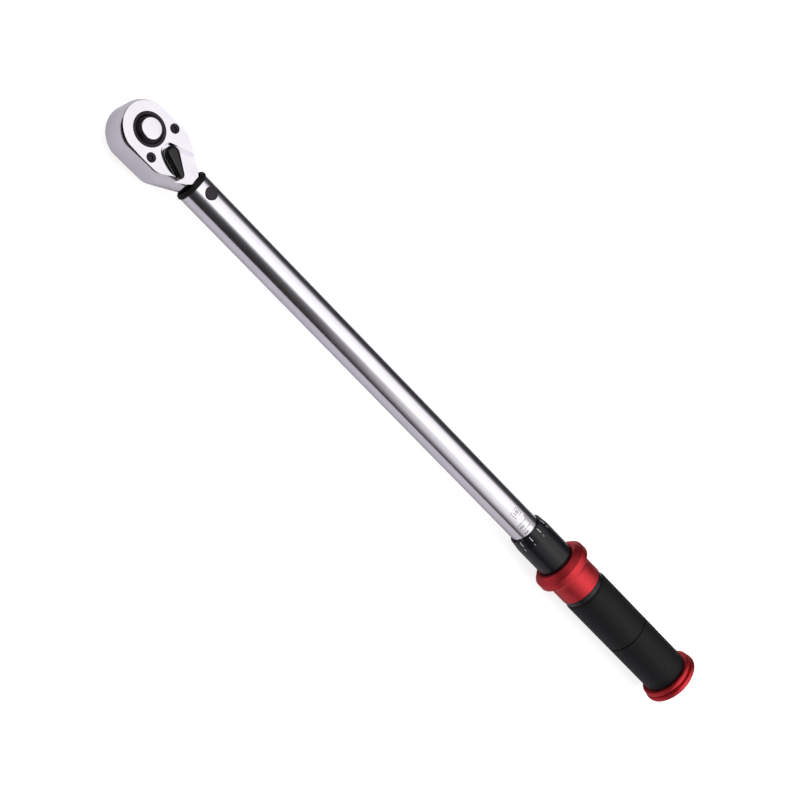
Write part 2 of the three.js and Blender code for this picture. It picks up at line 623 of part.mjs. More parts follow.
/** Hub that joins the adjusting screw to the handle core. */
const handleHub = () => turned([
  [HUB_START, 5.3], [HUB_START, 12.2], [HUB_START + 0.5, CORE_BORE - FIT],
  [612, CORE_BORE - FIT], [612, 5.3],
], COARSE).subtract(crossBar(1.8, HUB_PIN_X, 0, -30, 30));

function hubPin(side) {
  const ends = [side * 6.2, side * 16.7].sort((a, b) => a - b);
  return crossBar(1.5, HUB_PIN_X, 0, ...ends);
}

/** End cap with two beads round it. */
const endCap = () => turned([
  [CAP_START, 4.0], [CAP_START, 20.2], [CAP_START + 0.7, 22.0], [CAP_START + 1.6, 22.6],
  [CAP_START + 2.7, 22.4], [CAP_START + 3.5, 21.7], [617.5, 21.4], [618.3, 22.6],
  [619.4, 23.7], [620.4, CAP_RADIUS], [621.5, CAP_RADIUS - 0.2], [622.8, 22.6],
  [CAP_END, 20.4], [CAP_END, 6.4], [620.5, 6.4], [620.5, 4.0],
]);

function endScrew() {
  const screw = turned([
    [601, 0], [601, 2.3], [620.8, 2.3], [620.8, 5.8], [623.2, 5.8], [623.6, 5.4], [623.6, 0],
  ], COARSE);
  const socket = solid(new THREE.CylinderGeometry(2.6, 2.6, 6, 6)
    .rotateZ(Math.PI / 2).translate(624.4, 0, 0));
  return screw.subtract(socket);
}

// ---------------------------------------------------------------- assembly

function assembly(...parts) {
  const unit = new THREE.Group();
  parts.forEach(([name, shape, material]) => unit.add(meshOf(name, shape, material)));
  return unit;
}

const head = assembly(
  ["head_body", headBody(), chrome],
  ["cover_plate", coverPlate(), chrome],
  ["cover_screw_1", coverScrew(-1), blackSteel],
  ["cover_screw_2", coverScrew(1), blackSteel],
  ["pawl_pin", pawlPin(), toolSteel],
  ["pawl", pawl(), toolSteel],
  ["ratchet_gear", ratchetGear(), blackSteel],
  ["release_button", releaseButton(), chrome],
  ["button_spring", buttonSpring(), springSteel],
  ["detent_ball", detentBall(), toolSteel],
  ["reverse_lever", reverseLever(), blackSteel],
  ["pawl_plunger", pawlPlunger(), toolSteel],
  ["plunger_spring", plungerSpring(), springSteel],
);

const barrel = assembly(
  ["tube", tube(), chrome],
  ["seal_ring", sealRing(), sealRubber],
  ["pivot_pin", pivotPin(), gunmetal],
  ["click_block", clickBlock(), toolSteel],
  ["thrust_plunger", thrustPlunger(), toolSteel],
  ["main_spring", mainSpring(), springSteel],
  ["seat_washer", seatWasher(), toolSteel],
  ["spring_seat", springSeat(), toolSteel],
  ["thrust_ball", thrustBall(), toolSteel],
  ["fixed_nut", fixedNut(), brass],
  ["nut_pin_1", nutPin(-1), toolSteel],
  ["nut_pin_2", nutPin(1), toolSteel],
);

const handle = assembly(
  ["adjusting_screw", adjustingScrew(), toolSteel],
  ["graduated_sleeve", graduatedSleeve(), blackSleeve],
  ["retaining_ring", retainingRing(), springSteel],
  ["lock_spring", lockSpring(), springSteel],
  ["lock_ball_1", lockBall(-1), toolSteel],
  ["lock_ball_2", lockBall(1), toolSteel],
  ["lock_collar", lockCollar(), redAnodised],
  ["handle_core", handleCore(), blackSleeve],
  ["grip", grip(), blackGrip],
  ["handle_hub", handleHub(), toolSteel],
  ["hub_pin_1", hubPin(-1), toolSteel],
  ["hub_pin_2", hubPin(1), toolSteel],
  ["end_cap", endCap(), redAnodised],
  ["end_screw", endScrew(), blackSteel],
);

const wrench = new THREE.Group();
wrench.add(head, barrel, handle);
wrench.children.forEach((unit) => unit.position.set(0, 0, AXIS_HEIGHT));

export default wrench;
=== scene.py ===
import json
from math import acos, cos, hypot, pi, radians, sin, sqrt, tan

import bmesh
import bpy
from mathutils import Matrix, Vector


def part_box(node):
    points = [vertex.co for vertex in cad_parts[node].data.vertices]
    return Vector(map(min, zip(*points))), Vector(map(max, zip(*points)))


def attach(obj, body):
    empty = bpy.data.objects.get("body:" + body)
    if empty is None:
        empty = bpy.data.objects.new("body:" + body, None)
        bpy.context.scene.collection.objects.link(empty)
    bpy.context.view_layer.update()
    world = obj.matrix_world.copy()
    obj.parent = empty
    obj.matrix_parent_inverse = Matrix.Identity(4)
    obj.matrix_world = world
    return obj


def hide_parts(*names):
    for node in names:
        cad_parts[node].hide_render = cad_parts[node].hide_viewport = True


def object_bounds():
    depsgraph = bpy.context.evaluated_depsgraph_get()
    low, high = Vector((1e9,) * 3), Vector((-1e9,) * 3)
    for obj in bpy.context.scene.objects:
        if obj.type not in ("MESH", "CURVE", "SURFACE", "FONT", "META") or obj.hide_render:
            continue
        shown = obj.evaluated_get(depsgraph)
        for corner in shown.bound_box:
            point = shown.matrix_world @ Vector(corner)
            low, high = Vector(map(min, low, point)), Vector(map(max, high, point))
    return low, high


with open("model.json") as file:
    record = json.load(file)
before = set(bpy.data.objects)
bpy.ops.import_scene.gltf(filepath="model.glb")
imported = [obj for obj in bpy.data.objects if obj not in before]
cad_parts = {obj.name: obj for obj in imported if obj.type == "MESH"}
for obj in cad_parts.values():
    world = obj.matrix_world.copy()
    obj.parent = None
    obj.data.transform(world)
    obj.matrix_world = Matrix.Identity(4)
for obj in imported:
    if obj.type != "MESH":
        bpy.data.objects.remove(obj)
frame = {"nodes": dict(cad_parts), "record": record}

CAD_LOW, CAD_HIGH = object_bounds()

# Lengths below are millimetres in the wrench's own frame: X from the square drive's axis towards
# the handle's end, Z up from the wrench's axis, Y to the left. point() turns them into metres in
# the row frame, whose origin is the end of the square drive.
MM = 0.001
AXIS_Z = (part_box("tube")[0].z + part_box("tube")[1].z) / 2 / MM


def point(x, y, z):
    return Vector((x, y, z + AXIS_Z)) * MM


def extent(node):
    """(first x, last x, outer radius) of a node turned about the wrench's axis."""
    low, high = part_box(node)
    return low.x / MM, high.x / MM, (high.y - low.y) / 2 / MM


def heights(node):
    """(lowest z, highest z) of a node, measured from the wrench's axis."""
    low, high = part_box(node)
    return low.z / MM - AXIS_Z, high.z / MM - AXIS_Z


def middle_x(node):
    low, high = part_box(node)
    return (low.x + high.x) / 2 / MM


# ---------------------------------------------------------------- dimensions

NOSE_REACH = -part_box("head_body")[0].x / MM
HEAD_RADIUS = 22.4                # half the head's width about the drive
BODY_BOTTOM = heights("head_body")[0]
PLATE_BOTTOM, FACE = heights("cover_plate")
SEAM = 0.05                       # hairline left between pieces that touch
SHOULDER_NOSE = (5.5, 2.3)        # drop and inset of the shoulder that rolls in to the face
SHOULDER_FLANK = (3.4, 1.25)
FOOT_RADIUS = 3.2                 # rounding under the head
POCKET_FLOOR = 8.8
POCKET_X = 20.3                   # centre of the pocket's round nose
POCKET_RADIUS = 5.5
POCKET_FLARE = radians(22)
SLOPE_WIDTH = 4.2                 # how far the face rolls over into the pocket
SLOPE_FLOOR = 9.2
SLOPE_END = 34.5
NOSE_SWEEP = radians(77)
FLANK = ((-5, 21.8), (4, 21.7), (13, 21.5), (21, 21.3), (30, 21.3), (49, 21.3))
NECK_SLOPE = 0.5636               # the neck's cone narrows this much per mm
SHANK_RADIUS = 9.0
SHANK_START = 49.7

GEAR_TEETH = 72
GEAR_TIP, GEAR_ROOT = 15.2, 14.35
GEAR_BOSS = 12.85
LEVER_X = 23.3
LEVER_ANGLE = radians(-29)
LEVER_LENGTH = 15.5
LEVER_HUB = 5.7
LEVER_TIP = 3.2
PIVOT_X = middle_x("pivot_pin")
PIVOT_BORE_HEAD, PIVOT_BORE_TUBE = 5.08, 5.06
SQUARE = 12.7                     # across the flats of the square drive

SLEEVE_RIM, SLEEVE_RADIUS = 14.5, 15.7
SLEEVE_TAPER = 9.3                # length over which the sleeve widens from its rim

ROUND = 144                       # sides of a large turned part
SMALL = 72                        # sides of a small one


# ---------------------------------------------------------------- mesh helpers

def fillet(corners, step=radians(12)):
    """A profile whose corners (a, b, radius) are rounded with arcs; a corner of two values is sharp."""
    smooth = []
    count = len(corners)
    for i, corner in enumerate(corners):
        here = Vector(corner[:2])
        radius = corner[2] if len(corner) > 2 else 0
        if not radius:
            smooth.append(here)
            continue
        back = (Vector(corners[i - 1][:2]) - here).normalized()
        ahead = (Vector(corners[(i + 1) % count][:2]) - here).normalized()
        angle = acos(max(-1, min(1, back.dot(ahead))))
        reach = radius / tan(angle / 2)
        centre = here + (back + ahead).normalized() * (radius / sin(angle / 2))
        first, last = here + back * reach - centre, here + ahead * reach - centre
        sweep = pi - angle
        steps = max(2, round(sweep / step))
        turn = 1 if first.x * last.y - first.y * last.x > 0 else -1
        for k in range(steps + 1):
            a = turn * sweep * k / steps
            smooth.append(centre + Vector((first.x * cos(a) - first.y * sin(a),
                                           first.x * sin(a) + first.y * cos(a))))
    return [tuple(p) for p in smooth]


def turned(profile, sides=ROUND, place=None, closed=True):
    """A bmesh turned from a profile of (along, radius). place(along, radius, angle) gives a point."""
    place = place or about_axis
    bm = bmesh.new()
    rings = []
    for along, radius in profile:
        if radius < 1e-6:
            rings.append([bm.verts.new(place(along, 0, 0))])
        else:
            rings.append([bm.verts.new(place(along, radius, 2 * pi * k / sides)) for k in range(sides)])
    hollow = len(rings[0]) > 1 and closed
    pairs = list(zip(rings, rings[1:] + rings[:1])) if hollow else list(zip(rings, rings[1:]))
    for one, two in pairs:
        for k in range(sides):
            n = (k + 1) % sides
            ring = [one[k % len(one)], one[n % len(one)], two[n % len(two)], two[k % len(two)]]
            ring = list(dict.fromkeys(ring))
            if len(ring) > 2:
                bm.faces.new(ring)
    bmesh.ops.recalc_face_normals(bm, faces=bm.faces)
    return bm


def about_axis(along, radius, angle):
    return point(along, radius * cos(angle), radius * sin(angle))


def upright(x=0, y=0):
    """Turns a profile of (z, radius) about the vertical line at (x, y)."""
    return lambda along, radius, angle: point(x + radius * cos(angle), y + radius * sin(angle), along)


def prism(outline, low, high):
    """An outline of (x, y) points as a solid from low to high."""
    bm = bmesh.new()
    rings = [[bm.verts.new(point(x, y, z)) for x, y in outline] for z in (low, high)]
    count = len(outline)
    bm.faces.new(rings[0][::-1])
    bm.faces.new(rings[1])
    for k in range(count):
        n = (k + 1) % count
        bm.faces.new((rings[0][k], rings[0][n], rings[1][n], rings[1][k]))
    bmesh.ops.recalc_face_normals(bm, faces=bm.faces)
    return bm


def lofted(rings, cap=True):
    """A bmesh through closed rings of points that all have the same number of points."""
    bm = bmesh.new()
    loops = [[bm.verts.new(p) for p in ring] for ring in rings]
    count = len(loops[0])
    for one, two in zip(loops, loops[1:]):
        for k in range(count):
            n = (k + 1) % count
            bm.faces.new((one[k], one[n], two[n], two[k]))
    if cap:
        bm.faces.new(loops[0][::-1])
        bm.faces.new(loops[-1])
    bmesh.ops.recalc_face_normals(bm, faces=bm.faces)
    return bm


def thing(name, bm):
    """The bmesh as an object, with doubled points merged."""
    bmesh.ops.remove_doubles(bm, verts=bm.verts, dist=1e-6)
    mesh = bpy.data.meshes.new(name)
    bm.to_mesh(mesh)
    bm.free()
    made = bpy.data.objects.new(name, mesh)
    bpy.context.scene.collection.objects.link(made)
    return made


def combine(base, bm, operation="DIFFERENCE"):
    """Cuts the bmesh from the object, or joins it to it."""
    cutter = thing("cutter", bm)
    change = base.modifiers.new("cut", "BOOLEAN")
    change.operation = operation
    change.solver = "EXACT"
    change.object = cutter
    graph = bpy.context.evaluated_depsgraph_get()
    mesh = bpy.data.meshes.new_from_object(base.evaluated_get(graph))
    base.modifiers.remove(change)
    base.data = mesh
    bpy.data.objects.remove(cutter)
    return base


def finish(made, material, body, slot, *nodes, sharp=radians(32)):
    """Shades and paints a piece, attaches it to its body and hides the CAD nodes it replaces."""
    for face in made.data.polygons:
        face.use_smooth = True
    made.data.set_sharp_from_angle(angle=sharp)
    made.data.materials.clear()
    made.data.materials.append(material)
    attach(made, body)
    if nodes:
        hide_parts(*nodes)
    return made


def spline(points, count):
    """A uniform Catmull-Rom curve through the points, count steps in all."""
    made = []
    for i in range(count + 1):
        t = (len(points) - 1) * i / count
        k = min(int(t), len(points) - 2)
        w = t - k
        p0, p1 = points[max(k - 1, 0)], points[k]
        p2, p3 = points[k + 1], points[min(k + 2, len(points) - 1)]
        made.append(tuple(
            0.5 * (2 * b + (c - a) * w + (2 * a - 5 * b + 4 * c - d) * w * w
                   + (3 * b - a - 3 * c + d) * w ** 3)
            for a, b, c, d in zip(p0, p1, p2, p3)))
    return made


def ease(low, high, value):
    t = max(0.0, min(1.0, (value - low) / (high - low)))
    return t * t * (3 - 2 * t)


# ---------------------------------------------------------------- materials

def material(name, color, metallic=0.0, roughness=0.4, coat=0.0, specular=0.5):
    made = bpy.data.materials.new(name)
    made.use_nodes = True
    shader = made.node_tree.nodes["Principled BSDF"]
    shader.inputs["Base Color"].default_value = (*color, 1)
    shader.inputs["Metallic"].default_value = metallic
    shader.inputs["Roughness"].default_value = roughness
    shader.inputs["Coat Weight"].default_value = coat
    shader.inputs["Coat Roughness"].default_value = 0.12
    shader.inputs["Specular IOR Level"].default_value = specular
    return made


class Nodes:
    """Short ways to add nodes to a material or to the sky."""

    def __init__(self, made):
        self.tree = made.node_tree
        self.shader = self.tree.nodes.get("Principled BSDF")

    def add(self, kind, inputs=(), **settings):
        node = self.tree.nodes.new(kind)
        for key, value in settings.items():
            setattr(node, key, value)
        for key, value in dict(inputs).items():
            if isinstance(value, bpy.types.NodeSocket):
                self.tree.links.new(value, node.inputs[key])
            else:
                node.inputs[key].default_value = value
        return node

    def position(self, scale=(1, 1, 1)):
        """Object position in millimetres, stretched by scale."""
        where = self.add("ShaderNodeTexCoord").outputs["Object"]
        stretch = [1 / MM * s for s in scale]
        return self.add("ShaderNodeVectorMath", {0: where, 1: stretch}, operation="MULTIPLY").outputs[0]

    def noise(self, scale, detail=3, stretch=(1, 1, 1)):
        return self.add("ShaderNodeTexNoise", {
            "Vector": self.position(stretch), "Scale": scale, "Detail": detail}).outputs["Fac"]

    def ramp(self, value, low, high, color_a, color_b):
        """Maps value from low..high to color_a..color_b."""
        node = self.add("ShaderNodeMapRange", {
            "Value": value, "From Min": low, "From Max": high}, clamp=True)
        mix = self.add("ShaderNodeMix", {"Factor": node.outputs[0]}, data_type="RGBA")
        mix.inputs[6].default_value = (*color_a, 1)
        mix.inputs[7].default_value = (*color_b, 1)
        return mix.outputs[2]

    def spread(self, value, low, high, out_low, out_high):
        return self.add("ShaderNodeMapRange", {
            "Value": value, "From Min": low, "From Max": high, "To Min": out_low,
            "To Max": out_high}, clamp=True).outputs[0]

    def math(self, operation, a, b=0.0):
        return self.add("ShaderNodeMath", {0: a, 1: b}, operation=operation).outputs[0]

    def bump(self, height, strength, distance):
        node = self.add("ShaderNodeBump", {
            "Height": height, "Strength": strength, "Distance": distance * MM})
        self.tree.links.new(node.outputs[0], self.shader.inputs["Normal"])

    def color(self, socket):
        self.tree.links.new(socket, self.shader.inputs["Base Color"])

    def roughness(self, socket):
        self.tree.links.new(socket, self.shader.inputs["Roughness"])


def metal(name, light, dark, rough_low, rough_high, grain=(1, 1, 1), grain_scale=1.2, bump=0.02):
    """Metal with cloudy colour, uneven polish and a fine grain that runs across the stretch."""
    made = material(name, light, metallic=1.0)
    n = Nodes(made)
    cloud = n.noise(0.06, 4)
    n.color(n.ramp(cloud, 0.3, 0.7, dark, light))
    fine = n.noise(grain_scale, 2, grain)
    blend = n.math("ADD", n.math("MULTIPLY", cloud, 0.5), n.math("MULTIPLY", fine, 0.5))
    n.roughness(n.spread(blend, 0.3, 0.7, rough_low, rough_high))
    n.bump(fine, 0.25, bump)
    return made


def chrome():
    return metal("chrome", (0.64, 0.62, 0.66), (0.6, 0.58, 0.62), 0.07, 0.12, bump=0.004)


def satin_chrome():
    """Plated tube, polished round its girth."""
    return metal("satin_chrome", (0.64, 0.62, 0.665), (0.6, 0.58, 0.625), 0.11, 0.16,
                 grain=(6, 0.4, 0.4), bump=0.006)


def red_anodised():
    return metal("red_anodised", (0.52, 0.038, 0.046), (0.46, 0.03, 0.038), 0.44, 0.52,
                 grain=(8, 0.5, 0.5), bump=0.012)


def dark_metal(name, light, dark, rough_low=0.3, rough_high=0.45):
    return metal(name, light, dark, rough_low, rough_high, bump=0.01)


def coating(name, light, dark, rough_low, rough_high, bump, scale=2.5, specular=0.5):
    """Black plastic, paint or rubber with a fine grain."""
    made = material(name, light, specular=specular)
    n = Nodes(made)
    fine = n.noise(scale, 3)
    n.color(n.ramp(n.noise(0.08, 4), 0.3, 0.7, dark, light))
    n.roughness(n.spread(fine, 0.3, 0.7, rough_low, rough_high))
    n.bump(fine, 0.4, bump)
    return made


def grip_texture():
    """Fine diamond pattern pressed into the grip: two sets of grooves that wind round it."""
    made = material("grip_black", (0.005, 0.005, 0.006), specular=0.15)
    n = Nodes(made)
    place = n.position()
    split = n.add("ShaderNodeSeparateXYZ", {0: place})
    around = n.math("ARCTAN2", split.outputs[1],
                    n.math("SUBTRACT", split.outputs[2], AXIS_Z))
    turns = n.math("MULTIPLY", around, 70.0)
    along = n.math("MULTIPLY", split.outputs[0], 2 * pi / 1.7)
    one = n.math("SINE", n.math("ADD", turns, along))
    two = n.math("SINE", n.math("SUBTRACT", turns, along))
    height = n.math("MULTIPLY", n.math("ADD", one, two), 0.5)
    # Painted shade: the grooves of the pattern are painted darker than its ridges.
    n.color(n.ramp(height, -0.6, 0.6, (0.003, 0.003, 0.0035), (0.007, 0.007, 0.0085)))
    n.roughness(n.spread(n.noise(1.2, 3), 0.3, 0.7, 0.5, 0.65))
    n.bump(height, 0.6, 0.06)
    return made


CHROME = chrome()
SATIN = satin_chrome()
RED = red_anodised()
GUNMETAL = dark_metal("gunmetal", (0.04, 0.037, 0.042), (0.025, 0.023, 0.027))
OXIDE = dark_metal("black_oxide", (0.036, 0.031, 0.038), (0.02, 0.017, 0.022), 0.3, 0.42)
STEEL = dark_metal("tool_steel", (0.5, 0.5, 0.51), (0.4, 0.4, 0.41))
SPRING = dark_metal("spring_steel", (0.33, 0.32, 0.3), (0.24, 0.23, 0.21))
BRASS = dark_metal("brass", (0.69, 0.5, 0.22), (0.55, 0.38, 0.15))
SLEEVE = coating("sleeve_black", (0.005, 0.0045, 0.006), (0.003, 0.0027, 0.004), 0.24, 0.32, 0.004,
                 specular=0.28)
LEVER = coating("lever_black", (0.005, 0.0045, 0.0055), (0.003, 0.0026, 0.0034), 0.14, 0.22, 0.003,
                specular=0.3)
SEAL = coating("seal_rubber", (0.004, 0.0037, 0.004), (0.0025, 0.0022, 0.0025), 0.5, 0.65, 0.02,
               specular=0.15)
GRIP = grip_texture()
WHITE_INK = coating("white_ink", (0.62, 0.61, 0.63), (0.5, 0.49, 0.52), 0.4, 0.5, 0.002)
BLACK_INK = coating("black_ink", (0.03, 0.027, 0.03), (0.018, 0.017, 0.02), 0.5, 0.6, 0.002,
                    specular=0.2)


# ---------------------------------------------------------------- ratchet head

def head_stations():
    """Points of the head's mid-height outline on the +Y side, each with its outward direction."""
    nose = 40
    outline = [(-NOSE_REACH * cos(NOSE_SWEEP * k / nose), HEAD_RADIUS * sin(NOSE_SWEEP * k / nose))
               for k in range(nose)]
    outline += spline(FLANK, 90)
    reach = 6

    def spot(k):
        x, y = outline[min(abs(k), len(outline) - 1)]
        return Vector((x, y if k >= 0 else -y))

    stations = []
    for k in range(len(outline)):
        along = (spot(k + reach) - spot(k - reach)).normalized()
        stations.append((spot(k), Vector((-along.y, along.x))))
    return stations


def shoulder_inset(x, z):
    """How far the head's side lies inside its mid-height outline at height z."""
    share = ease(-16, 14, x)
    drop, inset = (a + (b - a) * share for a, b in zip(SHOULDER_NOSE, SHOULDER_FLANK))
    top = max(0.0, (z - (FACE - drop)) / drop)
    foot = max(0.0, min(1.0, (BODY_BOTTOM + FOOT_RADIUS - z) / FOOT_RADIUS))
    return inset * top ** 1.7 + FOOT_RADIUS * (1 - sqrt(1 - foot * foot))


def neck_radius(x):
    return SHANK_RADIUS + NECK_SLOPE * max(SHANK_START - x, 0.0)


def soft_least(a, b, blend=2.4):
    """The smaller of two lengths, eased where they are nearly equal."""
    share = max(blend - abs(a - b), 0.0) / blend
    return min(a, b) - share * share * blend / 4


def head_section(where, outward, low, high, levels):
    """Points down one side of the head at a station: flat-sided, and trimmed by the neck's cone."""
    radius = neck_radius(where.x)
    low, high = max(low, -radius), min(high, radius)
    side = []
    for k in range(levels + 1):
        z = low + (high - low) * (1 - cos(pi * k / levels)) / 2
        spot = where - outward * shoulder_inset(where.x, z)
        cone = sqrt(max(neck_radius(spot.x) ** 2 - z * z, 0.0))
        side.append((spot.x, max(soft_least(spot.y, cone), 0.0), z))
    return side


def head_block(low, high, levels):
    """The head's outer shape between two heights."""
    bm = bmesh.new()
    columns = []
    for where, outward in head_stations():
        if neck_radius(where.x) < low + 0.3:
            break
        side = head_section(where, outward, low, high, levels)
        left = [bm.verts.new(point(*p)) for p in side]
        right = [bm.verts.new(point(x, -y, z)) for x, y, z in side]
        columns.append(right + left[::-1])
    for one, two in zip(columns, columns[1:]):
        count = len(one)
        for k in range(count):
            n = (k + 1) % count
            bm.faces.new((one[k], one[n], two[n], two[k]))
    bm.faces.new(columns[-1])
    bmesh.ops.remove_doubles(bm, verts=bm.verts, dist=1e-6)
    bmesh.ops.dissolve_degenerate(bm, edges=bm.edges, dist=1e-7)
    bmesh.ops.recalc_face_normals(bm, faces=bm.faces)
    return bm


def pocket_outline():
    """Lever's pocket: a round nose that flares towards the neck."""
    start = pi / 2 + POCKET_FLARE
    steps = 48
    nose = [start + (2 * pi - 2 * start) * k / steps for k in range(steps + 1)]
    outline = [(POCKET_X + POCKET_RADIUS * cos(a), POCKET_RADIUS * sin(a)) for a in nose]
    reach = 40
    edge = POCKET_RADIUS / cos(POCKET_FLARE) + reach * tan(POCKET_FLARE)
    return outline + [(POCKET_X + reach, -edge), (POCKET_X + reach, edge)]


def drum(radius, low, high, x=0, y=0, sides=ROUND):
    return turned([(low, 0), (low, radius), (high, radius), (high, 0)], sides, upright(x, y))


def sector(inner, outer, span, low, high):
    steps = 24
    angles = [-span + 2 * span * k / steps for k in range(steps + 1)]
    outline = [(outer * cos(a), outer * sin(a)) for a in angles]
    outline += [(inner * cos(a), inner * sin(a)) for a in reversed(angles)]
    return prism(outline, low, high)


def head_body():
    body = thing("head_forging", head_block(BODY_BOTTOM, PLATE_BOTTOM - SEAM, 26))
    x1 = extent("head_body")[1]
    tail = turned([(SHANK_START - 2, 0), (SHANK_START - 2, SHANK_RADIUS), (75, SHANK_RADIUS),
                   (x1, 6.05), (x1, 0)], SMALL)
    combine(body, tail, "UNION")
    pawl_low, pawl_high = heights("pawl")
    for cut in (
        prism(pocket_outline(), POCKET_FLOOR, FACE + 5),
        drum(GEAR_TIP + 0.4, -8, FACE + 5),
        drum(GEAR_BOSS + 0.15, BODY_BOTTOM - 5, 0),
        sector(GEAR_TIP - 0.6, 20.5, radians(37.5), pawl_low - 0.3, pawl_high + 0.3),
        drum(3.9, pawl_low - 0.3, pawl_high + 0.3, LEVER_X, 0, SMALL),
        drum(2.75, -9, FACE, LEVER_X, 0, SMALL),
        drum(PIVOT_BORE_HEAD, -20, 20, PIVOT_X, 0, SMALL),
    ):
        combine(body, cut)
    combine(body, pocket_slope())
    return finish(body, CHROME, "head", "chrome", "head_body")


def cover_plate():
    plate = thing("face_plate", head_block(PLATE_BOTTOM, FACE, 10))
    combine(plate, prism(pocket_outline(), PLATE_BOTTOM - 5, FACE + 5))
    combine(plate, drum(GEAR_BOSS + 0.12, PLATE_BOTTOM - 5, FACE + 5))
    for screw in ("cover_screw_1", "cover_screw_2"):
        low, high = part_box(screw)
        centre = (low + high) / 2 / MM
        radius = (high.x - low.x) / 2 / MM
        combine(plate, drum(radius + 0.12, FACE - 1.8, FACE + 5, centre.x, centre.y, SMALL))
    combine(plate, pocket_slope())
    soften_pocket(plate)
    return finish(plate, CHROME, "head", "chrome", "cover_plate")


def pocket_slope():
    """Cutter that rolls the face over into the pocket along its -Y side."""
    rings = []
    steps, levels = 60, 14
    for k in range(steps + 1):
        share = k / steps
        width = SLOPE_WIDTH * sin(pi * share) ** 0.7 + 0.02
        x, y, out_x, out_y = pocket_edge(share)
        ring = [point(x - 2 * out_x, y - 2 * out_y, SLOPE_FLOOR)]
        for n in range(levels + 1):
            turn = pi / 2 * n / levels
            reach = width * (1 - cos(turn))
            ring.append(point(x + out_x * reach, y + out_y * reach,
                              SLOPE_FLOOR + (FACE - SLOPE_FLOOR) * sin(turn)))
        ring.append(point(x + out_x * width, y + out_y * width, FACE + 1))
        ring.append(point(x - 2 * out_x, y - 2 * out_y, FACE + 1))
        rings.append(ring)
    return lofted(rings)


def pocket_edge(share):
    """A point on the pocket's -Y wall, from its nose to the neck, with the outward direction."""
    first, last = radians(200), 3 * pi / 2 - POCKET_FLARE
    arc = POCKET_RADIUS * (last - first)
    straight = SLOPE_END - (POCKET_X + POCKET_RADIUS * cos(last))
    length = arc + straight / cos(POCKET_FLARE)
    along = share * length
    if along < arc:
        a = first + along / POCKET_RADIUS
        return POCKET_X + POCKET_RADIUS * cos(a), POCKET_RADIUS * sin(a), cos(a), sin(a)
    ahead = along - arc
    x = POCKET_X + POCKET_RADIUS * cos(last) + ahead * cos(POCKET_FLARE)
    y = POCKET_RADIUS * sin(last) - ahead * sin(POCKET_FLARE)
    return x, y, cos(last), sin(last)


def soften_pocket(plate, width=0.35):
    """Breaks the face's edge along the pocket's +Y side."""
    bm = bmesh.new()
    bm.from_mesh(plate.data)
    top = point(0, 0, FACE).z
    level = [e for e in bm.edges if all(abs(v.co.z - top) < 1e-6 for v in e.verts)]
    on_pocket = []
    for edge in level:
        gaps = [pocket_gap(v.co.x / MM, v.co.y / MM) for v in edge.verts]
        if max(abs(g) for g in gaps) < 0.02 and edge.verts[0].co.y >= -1e-6:
            on_pocket.append(edge)
    bmesh.ops.bevel(bm, geom=on_pocket, offset=width * MM, offset_type="OFFSET", segments=4,
                    profile=0.5, affect="EDGES", clamp_overlap=True)
    bm.to_mesh(plate.data)
    bm.free()


def pocket_gap(x, y):
    """Distance from a point to the pocket's wall, in plan."""
    dx, dy = x - POCKET_X, abs(y)
    if dx < -POCKET_RADIUS * sin(POCKET_FLARE):
        return hypot(dx, dy) - POCKET_RADIUS
    return dy * cos(POCKET_FLARE) - dx * sin(POCKET_FLARE) - POCKET_RADIUS


def socket_radius(size, angle, hexagon):
    """Radius, at an angle, of a ring that goes from round at 0 to hexagonal at 1."""
    facing = (angle + pi / 6) % (pi / 3) - pi / 6
    return size + (size * cos(pi / 6) / cos(facing) - size) * hexagon


def cover_screw(node):
    """Socket-head screw: a shallow dish round a hexagonal socket."""
    low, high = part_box(node)
    centre = (low + high) / 2 / MM
    radius = (high.x - low.x) / 2 / MM
    top = heights(node)[1]
    sides = 48

    def ring(z, size, hexagon=0.0):
        made = []
        for k in range(sides):
            a = 2 * pi * k / sides
            r = socket_radius(size, a, hexagon)
            made.append(point(centre.x + r * cos(a), centre.y + r * sin(a), z))
        return made

    rings = [ring(3, 1.7), ring(top - 1.7, 1.7), ring(top - 1.7, radius - 0.1),
             ring(top - 1.5, radius), ring(top - 0.35, radius), ring(top - 0.1, radius - 0.15),
             ring(top, radius - 0.45), ring(top - 0.02, 2.6), ring(top - 0.25, 2.3, 0.6),
             ring(top - 0.4, 2.1, 1.0), ring(top - 1.4, 2.05, 1.0)]
    made = thing(node + "_fine", lofted(rings))
    return finish(made, OXIDE, "head", "black_steel", node)


def ratchet_gear():
    """Toothed ring, bosses and square drive."""
    low, high = heights("ratchet_gear")
    outline = []
    for k in range(GEAR_TEETH):
        tip = 2 * pi * (k + 0.5) / GEAR_TEETH
        root = tip + pi / GEAR_TEETH
        for a, r in ((tip - 0.006, GEAR_TIP), (tip + 0.006, GEAR_TIP),
                     (root - 0.01, GEAR_ROOT), (root + 0.01, GEAR_ROOT)):
            outline.append((r * cos(a), r * sin(a)))
    gear = thing("ratchet_drive", prism(outline, -7.7, 10.2))
    shoulder = -12.6
    bosses = fillet([(shoulder, 0), (shoulder, GEAR_BOSS, 0.5), (high, GEAR_BOSS, 0.6),
                     (high, 10.9, 0.6), (high - 1.3, 9.4, 0.6), (high - 1.5, 0)])
    combine(gear, turned(bosses, ROUND, upright()), "UNION")
    combine(gear, square_drive(low, -2), "UNION")
    combine(gear, drum(8.4, 5.5, FACE + 5))
    combine(gear, drum(3.2, -25.7, 10, sides=SMALL))
    ball_z = (sum(heights("detent_ball"))) / 2
    bore = turned([(-10, 0), (-10, 2.5), (0, 2.5), (0, 0)], SMALL,
                  lambda along, radius, a: point(radius * cos(a), along, ball_z + radius * sin(a)))
    combine(gear, bore)
    return finish(gear, OXIDE, "gear", "black_steel", "ratchet_gear")


